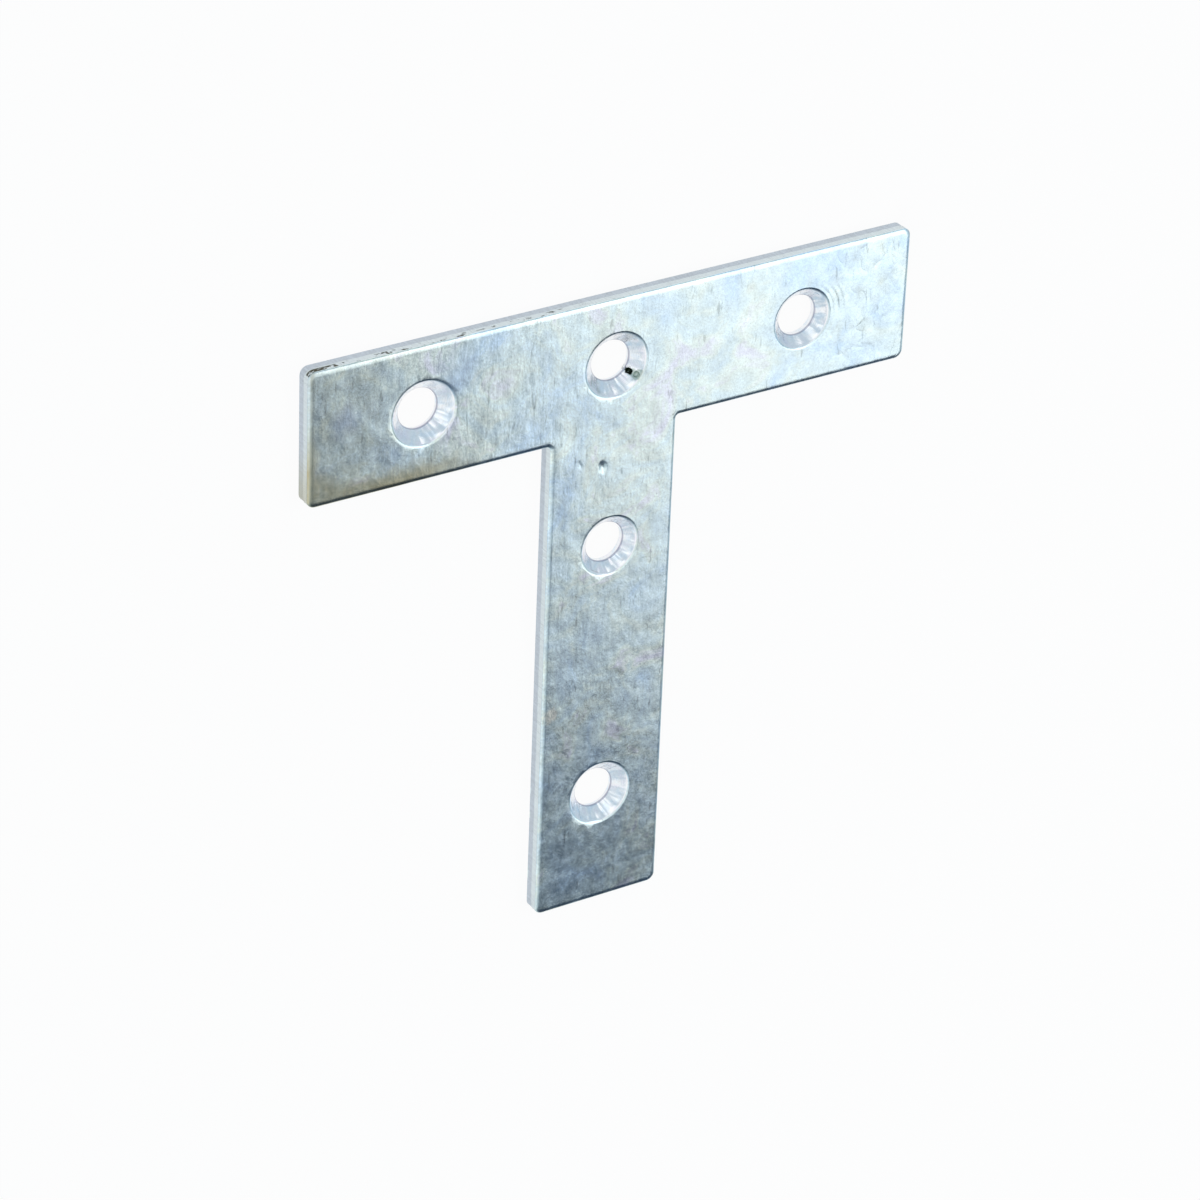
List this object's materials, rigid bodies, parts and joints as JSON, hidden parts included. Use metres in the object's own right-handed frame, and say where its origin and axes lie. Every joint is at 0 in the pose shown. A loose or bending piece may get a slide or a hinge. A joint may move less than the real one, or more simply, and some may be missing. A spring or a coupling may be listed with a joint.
{
  "type": "tee joining plate",
  "caption": "Flat T-shaped steel joining plate, zinc plated, with countersunk screw holes along the bar and down the stem.",
  "frame": {"origin": "where the axis of the junction hole, in the middle of the bar, meets the back face", "axes": "+X along the bar, the stem runs towards -Y, +Z out of the countersunk face"},
  "size_m": [0.076, 0.076, 0.002],
  "materials": {
    "zinc_plated_steel": "bright zinc plate, lightly mottled"
  },
  "bodies": {
    "root": {"tee_plate": "zinc_plated_steel"}
  },
  "joints": []
}
